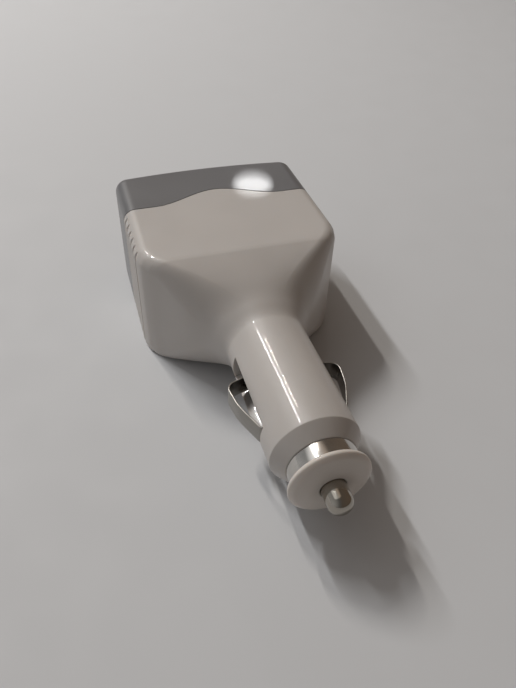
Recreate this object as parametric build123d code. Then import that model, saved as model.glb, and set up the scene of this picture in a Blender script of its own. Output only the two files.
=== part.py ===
from build123d import *
from math import cos, pi, sin
import os

# A charger plug for a car's 12 V socket, lying on its flat head. The plug's axis is Y, the tip points
# along +Y and the outlets along -Y, and Z is up. The origin is on the axis, at the root of the barrel,
# where the neck has almost turned round. Lengths are in millimetres.

# Head: the flat box that stays outside the socket
head_width = 55.0
head_height = 32.0
head_length = 48.2
head_edge_radius = 3.4
base_edge_chamfer = 0.8
front_corner_radius = 4.0
front_bow = 1.8
wall = 2.0
least_inner_radius = 0.4
side_angle = 4.0

# Shoulder and neck: the head's sides draw in, and the neck steps in a little, lofts down and runs onto
# the barrel
shoulder_length = 8.0
shoulder_inset = 3.3
shoulder_edge_radius = 4.0
shoulder_base_radius = 1.0
neck_length = 18.6
neck_run_on = 2.5
neck_step = 0.1
hollow_inset = 3.0

# Stations of the neck: the place along it, and how far its width and height have drawn in there
neck_stations = ((0.4, 0.42, 0.37), (0.75, 0.83, 0.78))

# Seam between the front cap and the rear housing, with the cap's lip behind it
seam_depth = 21.8
seam_rise = 5.9
seam_half_width = 18.4
seam_gap = 0.2
lip_wall = 1.2
lip_gap = 0.15
lip_reach = 4.0
lip_root_length = 2.0

# Upright grooves on both sides of the head
groove_count = 6
groove_pitch = 3.4
groove_width = 1.7
groove_depth = 1.0

# Barrel: slightly tapered, with a straight pilot at its end and a chamfered nose
barrel_radius = 10.4
barrel_length = 35.2
barrel_draft = 0.25
pilot_length = 5.6
nose_taper_length = 3.4
nose_taper_radius = 8.0
bore_radius = 8.4
end_wall = 2.6

# Slots in the barrel and the bowed leaf contacts that stand out of them
slot_start = 6.5
slot_length = 22.5
slot_width = 6.0
slot_clearance = 0.5
contact_width = 5.0
contact_thickness = 0.4
contact_root = 7.0
contact_bow_height = 2.5
contact_bow_setback = 8.2
contact_bow_radius = 16.0
contact_crest_height = 3.5
contact_crest_setback = 15.0
contact_crest_radius = 2.4
contact_tail_setback = 16.8
contact_tail = 8.0
contact_bend_radius = 0.8
contact_end_gap = 0.25

# Contact carrier: the insulating core of the barrel
carrier_rear = 2.0
carrier_clearance = 0.2
channel_clearance = 0.3
channel_floor = 4.05
pocket_floor = 5.9
ledge_length = 2.0
ledge_overlap = 0.6
ledge_clearance = 0.25
fuse_clearance = 0.4
terminal_wall = 5.0

# Ring, nose cap and centre pin
washer_thickness = 0.4
washer_gap = 0.05
ring_radius = 7.87
ring_length = 4.0
nose_radius = 9.3
nose_rim_width = 0.9
nose_rim_inset = 0.4
nose_rim_rise = 0.7
nose_height = 2.6
nose_crown_radius = 4.6
spigot_radius = 5.0
spigot_length = 10.8
thread_clearance = 0.1
pin_radius = 2.8
pin_clearance = 0.4
pin_reach = 5.9
pin_dome_height = 1.9
pin_collar_radius = 4.0
pin_collar_length = 1.7
pin_collar_clearance = 0.2
pin_seat_gap = 0.1
pin_boss_radius = 2.3
pin_boss_length = 0.7
nose_wall = 5.2

# Fuse, spring and terminal, in line behind the pin
fuse_length = 20.0
fuse_radius = 2.6
fuse_cap_length = 5.0
fuse_cap_wall = 0.3
fuse_glass_clearance = 0.05
fuse_glass_wall = 0.6
fuse_strip_width = 1.6
fuse_strip_thickness = 0.2
seat_gap = 0.05
spring_wire_radius = 0.3
spring_turns = 5
spring_turn_steps = 8
spring_wire_sides = 6
spring_clearance = 0.25
terminal_thickness = 0.5
blade_width = 2.6
blade_thickness = 0.5
blade_clearance = 0.1
blade_reach = 1.6

# Circuit board and the rails that hold it
board_thickness = 1.6
board_side_gap = 0.3
board_front_gap = 0.6
board_rear_gap = 1.0
rail_height = 1.2
rail_overlap = 1.2
rail_gap = 0.1

# USB outlets and the light between them
usb_width = 13.1
usb_height = 5.7
usb_length = 14.0
usb_sheet = 0.35
usb_corner_radius = 0.6
usb_spacing = 22.0
usb_recess = 1.0
port_clearance = 0.2
leg_width = 1.8
leg_reach = 0.8
leg_setback = 4.0
leg_clearance = 0.2
tongue_width = 11.1
tongue_thickness = 1.84
tongue_offset = 0.1
tongue_recess = 1.2
tongue_block_length = 3.0
tongue_clearance = 0.05
usb_contact_places = (-3.5, -1.0, 1.0, 3.5)
usb_contact_width = 1.0
usb_contact_thickness = 0.2
usb_contact_end_gap = 0.6
led_radius = 1.5
led_length = 7.0
led_recess = 0.3
led_clearance = 0.15
led_base_length = 3.6

# Converter on the board
inductor_width = 11.0
inductor_height = 7.0
inductor_corner = 2.2
inductor_terminal_length = 2.4
inductor_terminal_width = 4.0
inductor_terminal_height = 0.3
capacitor_radius = 4.0
capacitor_height = 11.5
chip_length = 5.0
chip_width = 3.9
chip_height = 1.5
chip_lead_count = 4
chip_lead_pitch = 1.27
chip_lead_width = 0.42
chip_lead_reach = 1.0
chip_lead_height = 0.6
diode_length = 4.4
diode_width = 3.6
diode_height = 2.2
diode_tab_width = 2.0
diode_tab_reach = 0.7
diode_tab_height = 0.5
part_length = 2.0
part_width = 1.25
part_height = 0.6
component_row = 8.0
component_spread = 13.5

# Stamped leads between the barrel and the board
lead_width = 2.6
lead_thickness = 0.5
lead_clearance = 0.2
lead_gap = 0.05
lead_lane = 7.2
lead_slope = 3.0
lead_foot = 3.0
lead_bend_radius = 1.0

# Sizes and places along the axis that follow from the sizes above
shoulder_width = head_width - 2 * shoulder_inset
neck_start = -neck_length
shoulder_start = neck_start - shoulder_length
head_front = neck_start - head_length
seam_y = head_front + seam_depth
barrel_end = barrel_length + nose_taper_length
bore_start = -2 * wall
bore_end = barrel_end - end_wall
slot_end = slot_start + slot_length
carrier_radius = bore_radius - carrier_clearance
carrier_front = bore_end - washer_thickness - washer_gap
ring_end = barrel_end + ring_length
nose_front = ring_end + nose_height
spigot_rear = ring_end - spigot_length
pin_hole_radius = pin_radius + pin_clearance
pin_shoulder = nose_front - nose_wall
pin_collar_front = pin_shoulder - pin_seat_gap
pin_rear = pin_collar_front - pin_collar_length - pin_boss_length
pin_tip = nose_front + pin_reach
fuse_front = pin_rear - seat_gap
fuse_rear = fuse_front - fuse_length
fuse_bore_radius = fuse_radius + fuse_clearance
terminal_seat = carrier_rear + terminal_wall
terminal_front = terminal_seat + terminal_thickness
blade_rear = carrier_rear - blade_reach

# Places of the board and the outlets, which are level with the plug's axis
board_top = -usb_height / 2
board_bottom = board_top - board_thickness
board_half = head_width / 2 - wall - lip_gap - lip_wall - board_side_gap
board_front = head_front + wall + front_bow + board_front_gap
board_rear = shoulder_start - board_rear_gap
usb_front = head_front + usb_recess
usb_rear = usb_front + usb_length
usb_places = (-usb_spacing / 2, usb_spacing / 2)
leg_y = usb_rear - leg_setback
component_y = (usb_rear + board_rear) / 2


def across(y):
    """Plane across the plug's axis at y, with X to its right and Z up."""
    return Plane.XZ.offset(-y)


def rod(radius, start, end, x=0, z=0):
    """Round bar along Y from start to end."""
    return extrude(across(end) * Pos(x, z) * Circle(radius), end - start)


def block(x_range, y_range, z_range):
    """Box between two values on each axis."""
    ranges = (x_range, y_range, z_range)
    centre = [(low + high) / 2 for low, high in ranges]
    size = [high - low for low, high in ranges]
    return Pos(*centre) * Box(*size)


def turned(*outline):
    """Solid of revolution about the plug's axis, from lines and arcs drawn as radius and y."""
    return revolve(make_face(outline), Axis.Y)


def turned_ring(outer, inner, start, end):
    """Plain tube about the plug's axis."""
    return rod(outer, start, end) - rod(inner, start, end)


def section(y, width, height, upper, lower):
    """Rectangle across the axis with rounded upper and lower corners."""
    half = width / 2
    top = height / 2
    corners = ((half, top), (-half, top), (-half, -top), (half, -top))
    return across(y) * make_face(FilletPolyline(*corners, radius=(upper, upper, lower, lower), close=True))


def round_section(y, radius):
    """Circle across the axis, in the same eight arcs as a rounded rectangle's sides and corners."""
    arcs = []
    for quarter in range(4):
        middle = 90 * quarter
        arcs.append(CenterArc((0, 0), radius, middle - side_angle, 2 * side_angle))
        arcs.append(CenterArc((0, 0), radius, middle + side_angle, 90 - 2 * side_angle))
    return across(y) * make_face(arcs)


def head_block(inset, back):
    """Upright block of the head, from its bowed front to lines drawn across its back, drawn in by inset."""
    half = head_width / 2 - inset
    half_height = head_height / 2 - inset
    front = head_front + inset
    corner_y = front + front_bow
    sides = [Line((side * half, corner_y), (side * half, shoulder_start)) for side in (-1, 1)]
    bow = ThreePointArc((-half, corner_y), (0, front), (half, corner_y))
    box = extrude(Plane.XY.offset(-half_height) * make_face([bow, *sides, *back]), 2 * half_height)
    upright = box.edges().filter_by(Axis.Z).group_by(Axis.Y)[0]
    return fillet(upright, max(front_corner_radius - inset, least_inner_radius))


def head_inside(inset):
    """Square-edged inside of the head, drawn in by inset, which ends at the shoulder."""
    half = head_width / 2 - inset
    return head_block(inset, [Line((-half, shoulder_start), (half, shoulder_start))])


def head_outside():
    """Head with its shoulder, where the sides draw in: round upper edges and small chamfers below."""
    back = []
    ends = []
    for side in (-1, 1):
        start = (side * head_width / 2, shoulder_start)
        arc = TangentArc(start, (side * shoulder_width / 2, neck_start), tangent=(0, 1))
        run_out = Line(arc @ 1, arc @ 1 + (arc % 1) * 2 * head_edge_radius)
        back += [arc, run_out]
        ends.append(run_out @ 1)
    box = head_block(0, [*back, Line(*ends)])
    top = box.faces().filter_by(Axis.Z).sort_by(Axis.Z)[-1]
    box = fillet(top.edges().sort_by(Axis.Y)[:-1], head_edge_radius)
    base = box.faces().filter_by(Axis.Z).sort_by(Axis.Z)[0]
    box = chamfer(base.edges().sort_by(Axis.Y)[:-1], base_edge_chamfer)
    wide = (-head_width, head_width)
    high = (-head_height, head_height)
    return box & block(wide, (head_front - head_length, neck_start), high)


def neck():
    """Loft from the shoulder's rounded rectangle to the round barrel."""
    end_radius = barrel_radius - barrel_draft
    start_width = shoulder_width - 2 * neck_step
    start_height = head_height - 2 * neck_step
    sections = [section(neck_start, start_width, start_height, shoulder_edge_radius, shoulder_base_radius)]
    for along, width_share, height_share in neck_stations:
        y = neck_start + (neck_run_on - neck_start) * along
        width = start_width + (2 * end_radius - start_width) * width_share
        height = start_height + (2 * end_radius - start_height) * height_share
        upper = shoulder_edge_radius + (end_radius - shoulder_edge_radius) * along
        lower = shoulder_base_radius + (end_radius - shoulder_base_radius) * along
        sections.append(section(y, width, height, upper, lower))
    sections.append(round_section(neck_run_on, end_radius))
    return loft(sections)


def neck_hollow():
    """Flat-sided hollow of the shoulder and the neck, which ends inside the barrel's bore."""
    corner = bore_radius * cos(pi / 4)
    outlines = []
    for entry, middle in ((head_width / 2, shoulder_width / 2), (head_height / 2, head_height / 2)):
        half = ((entry - wall, shoulder_start), (middle - hollow_inset, neck_start), (corner, neck_run_on))
        mirrored = [(-out, y) for out, y in half[::-1]]
        outlines.append(make_face(Polyline(*half, *mirrored, close=True)))
    from_above, from_the_side = outlines
    upright = Plane(origin=(0, 0, 0), x_dir=(0, 0, 1), z_dir=(-1, 0, 0))
    plan = extrude(from_above, head_height, both=True)
    return plan & extrude(upright * from_the_side, head_width, both=True)


def barrel_body():
    """Outside of the barrel: draft, pilot and chamfered end."""
    start_radius = barrel_radius - barrel_draft
    pilot_start = barrel_length - pilot_length
    return turned(Polyline(
        (0, neck_run_on),
        (start_radius, neck_run_on),
        (barrel_radius, pilot_start),
        (barrel_radius, barrel_length),
        (nose_taper_radius, barrel_end),
        (0, barrel_end),
        close=True,
    ))


def front_zone(shift):
    """All the space in front of the seam, which swells forward in the middle of the head."""
    side = seam_y + shift
    crest = side - seam_rise
    far = head_front - head_length
    left = Spline((-seam_half_width, side), (0, crest), tangents=((1, 0), (1, 0)))
    right = Spline((0, crest), (seam_half_width, side), tangents=((1, 0), (1, 0)))
    around = Polyline(
        (seam_half_width, side),
        (head_width, side),
        (head_width, far),
        (-head_width, far),
        (-head_width, side),
        (-seam_half_width, side),
    )
    return extrude(Plane.XY.offset(-head_height) * make_face([left, right, around]), 2 * head_height)


def rear_housing():
    """White moulding: back of the head, neck and barrel in one piece."""
    body = head_outside() + neck() + barrel_body()
    body -= head_inside(wall) + neck_hollow()
    body -= rod(bore_radius, bore_start, bore_end)
    body -= rod(spigot_radius + thread_clearance, bore_end, barrel_end)
    body -= front_zone(0)
    side_face = head_width / 2
    for side in (-1, 1):
        for number in range(groove_count):
            y = shoulder_start + groove_width / 2 - number * groove_pitch
            reach = sorted((side * (side_face - groove_depth), side * (side_face + groove_depth)))
            height = (-head_height / 2, head_height / 2)
            body -= block(reach, (y - groove_width / 2, y + groove_width / 2), height)
        through = sorted((side * contact_root, side * (barrel_radius + slot_clearance)))
        body -= block(through, (slot_start, slot_end), (-slot_width / 2, slot_width / 2))
        across_rail = sorted((side * (side_face - wall), side * (board_half - rail_overlap)))
        along_rail = (seam_y + lip_reach + rail_height, board_rear)
        lower_top = board_bottom - rail_gap
        upper_bottom = board_top + rail_gap
        body += block(across_rail, along_rail, (lower_top - rail_height, lower_top))
        body += block(across_rail, along_rail, (upper_bottom, upper_bottom + rail_height))
    return body


def front_cap():
    """Grey moulding that closes the head, with a lip inside the housing and the outlets' openings."""
    lip_inset = wall + lip_gap
    lip_inner = head_inside(lip_inset + lip_wall)
    lip_root = seam_y - seam_rise - lip_root_length
    wide = (-head_width, head_width)
    high = (-head_height, head_height)
    root_ring = (head_inside(wall) - lip_inner) & block(wide, (lip_root - lip_root_length, lip_root), high)
    lip_ring = (head_inside(lip_inset) - lip_inner) & block(wide, (lip_root, seam_y + lip_reach), high)
    cap = (head_outside() - head_inside(wall)) & front_zone(-seam_gap)
    cap = cap + root_ring + lip_ring
    front_wall = (head_front - wall, head_front + 2 * wall + front_bow)
    half_width = usb_width / 2 + port_clearance
    half_height = usb_height / 2 + port_clearance
    for x in usb_places:
        cap -= block((x - half_width, x + half_width), front_wall, (-half_height, half_height))
    return cap - rod(led_radius + led_clearance, *front_wall)


def nose_ring():
    """Bright ring between the barrel's end and the nose cap."""
    return turned_ring(ring_radius, spigot_radius + thread_clearance, barrel_end, ring_end)


def nose_cap():
    """Low crowned flange with a hollow spigot that screws into the carrier and keeps the pin in."""
    collar_bore = pin_collar_radius + pin_collar_clearance
    flange = turned(Polyline(
        (0, nose_front),
        (0, spigot_rear),
        (spigot_radius, spigot_rear),
        (spigot_radius, ring_end),
        (nose_radius - nose_rim_inset, ring_end),
        (nose_radius, ring_end + nose_rim_inset),
        (nose_radius, ring_end + nose_rim_width),
        (nose_radius - nose_rim_inset, ring_end + nose_rim_width + nose_rim_rise),
        (nose_crown_radius, nose_front),
        close=True,
    ))
    inside = rod(pin_hole_radius, pin_shoulder, nose_front) + rod(collar_bore, spigot_rear, pin_shoulder)
    return flange - inside


def centre_pin():
    """Plated pin with a rounded end and a collar that stops against the nose cap."""
    dome_start = pin_tip - pin_dome_height
    collar_rear = pin_collar_front - pin_collar_length
    dome = TangentArc((0, pin_tip), (pin_radius, dome_start), tangent=(1, 0))
    body = Polyline(
        (0, pin_tip),
        (0, pin_rear),
        (pin_boss_radius, pin_rear),
        (pin_boss_radius, collar_rear),
        (pin_collar_radius, collar_rear),
        (pin_collar_radius, pin_collar_front),
        (pin_radius, pin_collar_front),
        (pin_radius, dome_start),
    )
    return turned(dome, body)


def fuse_cap(closed_end, direction):
    """Metal cup on one end of the fuse; direction points from its closed end to its mouth."""
    mouth = closed_end + direction * fuse_cap_length
    floor = closed_end + direction * fuse_cap_wall
    cup = rod(fuse_radius, min(closed_end, mouth), max(closed_end, mouth))
    return cup - rod(fuse_radius - fuse_cap_wall, min(floor, mouth), max(floor, mouth))


def fuse_tube():
    """Glass tube that fits inside both end caps."""
    outer = fuse_radius - fuse_cap_wall - fuse_glass_clearance
    gap = fuse_cap_wall + fuse_glass_clearance
    return turned_ring(outer, outer - fuse_glass_wall, fuse_rear + gap, fuse_front - gap)


def fuse_strip():
    """Thin flat element from one end cap to the other, down the middle of the tube."""
    half_width = fuse_strip_width / 2
    half_thickness = fuse_strip_thickness / 2
    along = (fuse_rear + fuse_cap_wall, fuse_front - fuse_cap_wall)
    return block((-half_width, half_width), along, (-half_thickness, half_thickness))


def fuse_spring():
    """Coil between the terminal and the fuse, in short straight steps of a six-sided wire."""
    coil_radius = fuse_bore_radius - spring_clearance - spring_wire_radius
    start = terminal_front + spring_wire_radius + seat_gap
    height = fuse_rear - spring_wire_radius - seat_gap - start
    steps = spring_turns * spring_turn_steps
    points = []
    for step in range(steps + 1):
        angle = 2 * pi * step / spring_turn_steps
        points.append((coil_radius * cos(angle), start + height * step / steps, coil_radius * sin(angle)))
    path = Polyline(*points)
    wire = RegularPolygon(spring_wire_radius, spring_wire_sides)
    return sweep(Plane(origin=points[0], z_dir=path % 0) * wire, path, transition=Transition.RIGHT)


def spring_terminal():
    """Round seat for the spring, with a blade through the carrier's end wall."""
    half_width = blade_width / 2
    half_thickness = blade_thickness / 2
    seat = rod(fuse_bore_radius - blade_clearance, terminal_seat, terminal_front)
    along = (blade_rear, terminal_seat)
    return seat + block((-half_width, half_width), along, (-half_thickness, half_thickness))


def ground_washer():
    """Washer that ties both leaves to the negative lead, clamped behind the barrel's end wall."""
    rear = carrier_front + washer_gap / 2
    return turned_ring(carrier_radius, spigot_radius + carrier_clearance, rear, rear + washer_thickness)


def contact_carrier():
    """Insulating core: the fuse's bore, a channel with ledges for each leaf, and a groove for a lead."""
    core = rod(carrier_radius, carrier_rear, carrier_front)
    core -= rod(fuse_bore_radius, terminal_seat, carrier_front)
    blade_half = blade_width / 2 + blade_clearance
    blade_high = blade_thickness / 2 + blade_clearance
    core -= block((-blade_half, blade_half), (carrier_rear, terminal_seat), (-blade_high, blade_high))
    core -= rod(spigot_radius + thread_clearance, spigot_rear - slot_clearance, carrier_front)
    lane_half = lead_width / 2 + lead_clearance
    lane_top = lead_thickness / 2 + lead_clearance - lead_lane
    core -= block((-lane_half, lane_half), (carrier_rear, carrier_front), (-bore_radius, lane_top))
    channel_half = contact_width / 2 + channel_clearance
    channel_front = spigot_rear - 2 * slot_clearance
    ledge_half = contact_width / 2 - ledge_overlap
    ledge = contact_root + contact_thickness / 2 + ledge_clearance
    ledge_start = carrier_front - ledge_length
    for side in (-1, 1):
        deep = sorted((side * channel_floor, side * bore_radius))
        core -= block(deep, (slot_start, channel_front), (-channel_half, channel_half))
        open_pocket = sorted((side * pocket_floor, side * bore_radius))
        core -= block(open_pocket, (channel_front, ledge_start), (-channel_half, channel_half))
        under_ledge = sorted((side * pocket_floor, side * ledge))
        core -= block(under_ledge, (ledge_start, carrier_front), (-channel_half, channel_half))
        between_ledges = sorted((side * ledge, side * bore_radius))
        core -= block(between_ledges, (ledge_start, carrier_front), (-ledge_half, ledge_half))
    return core


def side_contact(side):
    """Bowed leaf: root under the carrier's ledges, riser through the slot, bow, and tail in the slot."""
    riser = slot_end - slot_clearance
    path = FilletPolyline(
        (contact_root, carrier_front - contact_end_gap),
        (contact_root, riser),
        (barrel_radius - contact_thickness, riser - contact_thickness),
        (barrel_radius + contact_bow_height, slot_end - contact_bow_setback),
        (barrel_radius + contact_crest_height, slot_end - contact_crest_setback),
        (contact_tail, slot_end - contact_tail_setback),
        radius=(contact_bend_radius, contact_bend_radius, contact_bow_radius, contact_crest_radius),
    )
    strip = trace(path, contact_thickness)
    leaf = extrude(Plane.XY.offset(-contact_width / 2) * strip, contact_width)
    if side < 0:
        return mirror(leaf, Plane.YZ)
    return leaf


def circuit_board():
    """Board between the rails, slotted for the outlets' legs."""
    board = block((-board_half, board_half), (board_front, board_rear), (board_bottom, board_top))
    half = usb_sheet / 2 + leg_clearance
    half_width = leg_width / 2 + leg_clearance
    along = (leg_y - half_width, leg_y + half_width)
    for place in usb_places:
        for side in (-1, 1):
            x = place + side * (usb_width - usb_sheet) / 2
            board -= block((x - half, x + half), along, (board_bottom, board_top))
    return board


def usb_shell(place):
    """Folded metal shell of one outlet, with two legs through the board."""
    outer = RectangleRounded(usb_width, usb_height, usb_corner_radius)
    inner = Rectangle(usb_width - 2 * usb_sheet, usb_height - 2 * usb_sheet)
    shell = extrude(across(usb_rear) * Pos(place, 0) * (outer - inner), usb_length)
    for side in (-1, 1):
        x = place + side * (usb_width - usb_sheet) / 2
        thick = (x - usb_sheet / 2, x + usb_sheet / 2)
        tall = (board_bottom - leg_reach, board_top + usb_corner_radius)
        shell += block(thick, (leg_y - leg_width / 2, leg_y + leg_width / 2), tall)
    return shell


def usb_tongue(place):
    """Insulator of one outlet: a block at the back and the tongue that carries the contacts."""
    half_width = usb_width / 2 - usb_sheet - tongue_clearance
    half_height = usb_height / 2 - usb_sheet - tongue_clearance
    rear = block(
        (place - half_width, place + half_width),
        (usb_rear - tongue_block_length, usb_rear),
        (-half_height, half_height),
    )
    tongue = block(
        (place - tongue_width / 2, place + tongue_width / 2),
        (usb_front + tongue_recess, usb_rear - tongue_block_length),
        (tongue_offset, tongue_offset + tongue_thickness),
    )
    return rear + tongue


def usb_contacts(place):
    """Row of flat contacts under one outlet's tongue."""
    along = (usb_front + tongue_recess + usb_contact_end_gap, usb_rear - tongue_block_length)
    thick = (tongue_offset - usb_contact_thickness, tongue_offset)
    half = usb_contact_width / 2
    return Compound([
        block((place + x - half, place + x + half), along, thick) for x in usb_contact_places
    ])


def status_led():
    """Light between the outlets: a round lens through the front wall on a base on the board."""
    front = head_front + led_recess
    rear = front + led_length
    base = block((-led_radius, led_radius), (rear - led_base_length, rear), (board_top, 0))
    return rod(led_radius, front, rear) + base


def power_inductor():
    """Shielded inductor: a square ferrite block with broken corners on two flat terminals."""
    half = inductor_width / 2
    tall = (board_top + inductor_terminal_height, board_top + inductor_height)
    body = block((-half, half), (component_y - half, component_y + half), tall)
    body = chamfer(body.edges().filter_by(Axis.Z), inductor_corner)
    for side in (-1, 1):
        inner = side * (half - inductor_terminal_length)
        reach = sorted((inner, side * half))
        width = (component_y - inductor_terminal_width / 2, component_y + inductor_terminal_width / 2)
        body += block(reach, width, (board_top, board_top + inductor_terminal_height))
    return body


def capacitor(x, y):
    """Electrolytic can that stands on the board."""
    return extrude(Plane.XY.offset(board_top) * Pos(x, y) * Circle(capacitor_radius), capacitor_height)


def converter_chip(x, y):
    """Small moulded package with a row of leads on each side."""
    half_length = chip_length / 2
    half_width = chip_width / 2
    tall = (board_top + seat_gap, board_top + chip_height)
    package = block((x - half_width, x + half_width), (y - half_length, y + half_length), tall)
    reach = half_width + chip_lead_reach
    first = y - chip_lead_pitch * (chip_lead_count - 1) / 2
    for number in range(chip_lead_count):
        lead_y = first + number * chip_lead_pitch
        along = (lead_y - chip_lead_width / 2, lead_y + chip_lead_width / 2)
        package += block((x - reach, x + reach), along, (board_top, board_top + chip_lead_height))
    return package


def rectifier_diode(x, y):
    """Moulded diode with a flat tab at each end."""
    half_length = diode_length / 2
    half_width = diode_width / 2
    reach = half_length + diode_tab_reach
    tall = (board_top + seat_gap, board_top + diode_height)
    body = block((x - half_width, x + half_width), (y - half_length, y + half_length), tall)
    tabs = (x - diode_tab_width / 2, x + diode_tab_width / 2)
    return body + block(tabs, (y - reach, y + reach), (board_top, board_top + diode_tab_height))


def chip_parts():
    """Ceramic chips along the board, beside the larger parts."""
    half_length = part_length / 2
    half_width = part_width / 2
    tall = (board_top, board_top + part_height)
    places = [(side * component_spread / 2, component_y + step * component_row)
              for side in (-1, 1) for step in (-1, 0, 1)]
    return Compound([
        block((x - half_width, x + half_width), (y - half_length, y + half_length), tall)
        for x, y in places
    ])


def stamped_lead(start, height, foot_height):
    """Flat strip that runs back from start at one height and is bent to a foot on the board."""
    path = FilletPolyline(
        (start, height),
        (board_rear, height),
        (board_rear - lead_slope, foot_height),
        (board_rear - lead_slope - lead_foot, foot_height),
        radius=lead_bend_radius,
    )
    strip = trace(path, lead_thickness)
    return extrude(Plane.YZ.offset(-lead_width / 2) * strip, lead_width)


def positive_lead():
    """From the terminal's blade back along the axis to the top of the board."""
    return stamped_lead(blade_rear - lead_gap, 0, board_top + lead_thickness / 2 + lead_gap)


def negative_lead():
    """From the washer back through the carrier's groove to the board's underside."""
    foot_height = board_bottom - lead_thickness / 2 - lead_gap
    return stamped_lead(carrier_front - lead_gap, -lead_lane, foot_height)


pieces = {
    "rear_housing": rear_housing(),
    "front_cap": front_cap(),
    "nose_ring": nose_ring(),
    "nose_cap": nose_cap(),
    "centre_pin": centre_pin(),
    "fuse_cap_front": fuse_cap(fuse_front, -1),
    "fuse_cap_rear": fuse_cap(fuse_rear, 1),
    "fuse_tube": fuse_tube(),
    "fuse_strip": fuse_strip(),
    "fuse_spring": fuse_spring(),
    "spring_terminal": spring_terminal(),
    "ground_washer": ground_washer(),
    "contact_carrier": contact_carrier(),
    "left_contact": side_contact(-1),
    "right_contact": side_contact(1),
    "circuit_board": circuit_board(),
    "status_led": status_led(),
    "power_inductor": power_inductor(),
    "input_capacitor": capacitor(-component_spread, component_y + component_row),
    "output_capacitor": capacitor(component_spread, component_y + component_row),
    "converter_chip": converter_chip(-component_spread, component_y - component_row / 2),
    "rectifier_diode": rectifier_diode(component_spread, component_y - component_row / 2),
    "chip_parts": chip_parts(),
    "positive_lead": positive_lead(),
    "negative_lead": negative_lead(),
}
for label, place in zip(("left", "right"), usb_places):
    pieces[f"usb_shell_{label}"] = usb_shell(place)
    pieces[f"usb_tongue_{label}"] = usb_tongue(place)
    pieces[f"usb_contacts_{label}"] = usb_contacts(place)

os.makedirs("parts", exist_ok=True)
for name, piece in pieces.items():
    export_step(piece, f"parts/{name}.step")
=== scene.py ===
from math import cos, pi, radians, sin, tan

import bmesh
import bpy
import numpy as np
from mathutils import Matrix, Vector


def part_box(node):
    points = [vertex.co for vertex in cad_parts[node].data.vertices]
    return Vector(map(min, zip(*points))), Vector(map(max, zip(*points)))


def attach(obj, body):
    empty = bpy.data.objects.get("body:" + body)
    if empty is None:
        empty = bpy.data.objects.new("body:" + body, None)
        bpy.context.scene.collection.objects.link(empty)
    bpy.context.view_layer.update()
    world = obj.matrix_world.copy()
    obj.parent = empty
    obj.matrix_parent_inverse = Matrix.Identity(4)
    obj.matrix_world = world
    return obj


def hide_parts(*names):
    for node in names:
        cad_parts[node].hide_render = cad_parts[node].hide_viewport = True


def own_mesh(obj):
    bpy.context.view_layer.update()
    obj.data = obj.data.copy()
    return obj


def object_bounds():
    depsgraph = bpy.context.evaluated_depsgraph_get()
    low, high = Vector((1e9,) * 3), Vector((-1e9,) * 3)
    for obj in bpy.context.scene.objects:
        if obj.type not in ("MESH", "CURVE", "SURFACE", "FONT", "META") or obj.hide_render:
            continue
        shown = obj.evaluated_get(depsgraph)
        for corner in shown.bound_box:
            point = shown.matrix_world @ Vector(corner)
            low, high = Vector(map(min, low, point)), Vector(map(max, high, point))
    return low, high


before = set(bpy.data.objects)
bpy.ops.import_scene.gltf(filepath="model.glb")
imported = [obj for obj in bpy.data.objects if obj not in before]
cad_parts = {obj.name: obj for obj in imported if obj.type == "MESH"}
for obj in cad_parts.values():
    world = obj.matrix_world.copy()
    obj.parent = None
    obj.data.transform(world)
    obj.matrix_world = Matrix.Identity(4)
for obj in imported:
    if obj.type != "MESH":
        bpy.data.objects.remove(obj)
cad_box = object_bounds()

# Rear housing: the back of the head, the neck and the barrel, moulded in one piece in glossy off-white
# plastic with a 2 mm wall. Its front edge is the wavy seam, each side of the barrel has a slot for a
# contact, and upright grip grooves are moulded into both sides of the head.
mm = 0.001
housing_low, housing_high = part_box("rear_housing")
shell_wall = 2.0 * mm
lip_rounding = 0.2 * mm
lip_turns = np.radians((40, 57, 73))
head_edge_radius = 3.4 * mm
base_edge_radius = 1.0 * mm
seam_rise = 5.9 * mm
seam_half_width = 18.4 * mm
seam_side = housing_low.y + seam_rise
shoulder_start = -26.6 * mm
neck_start = -18.6 * mm
neck_end = 2.5 * mm
barrel_root_radius = 10.15 * mm
barrel_radius = 10.4 * mm
barrel_straight_end = 35.2 * mm
barrel_end = housing_high.y
barrel_end_radius = 8.0 * mm
spigot_hole_radius = 5.1 * mm
slot_start = 6.5 * mm
slot_end = 29.0 * mm
slot_half_angle = radians(18.6)
top_half_angle = radians(25)
side_columns = 10
top_columns = 28
corner_columns = 12
head_rows = 140
root_rows = 8
slot_rows = 30

# The neck's sections in millimetres: place along the axis, half width, half height, and the radii of
# the upper and the lower corners
neck_sections = np.array((
    (-34.0, 27.5, 16.0, 3.4, 1.0),
    (-26.6, 27.5, 16.0, 3.4, 1.0),
    (-22.6, 26.77, 16.0, 3.6, 1.0),
    (-19.8, 25.2, 16.0, 3.9, 1.0),
    (-18.6, 24.25, 15.93, 4.0, 1.1),
    (-17.4, 23.3, 15.68, 4.2, 1.4),
    (-10.16, 18.3, 13.82, 6.4, 4.0),
    (-2.78, 12.55, 11.44, 8.6, 7.6),
    (2.5, 10.15, 10.15, 10.15, 10.15),
    (4.5, 10.15, 10.15, 10.15, 10.15),
)) * mm


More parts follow.
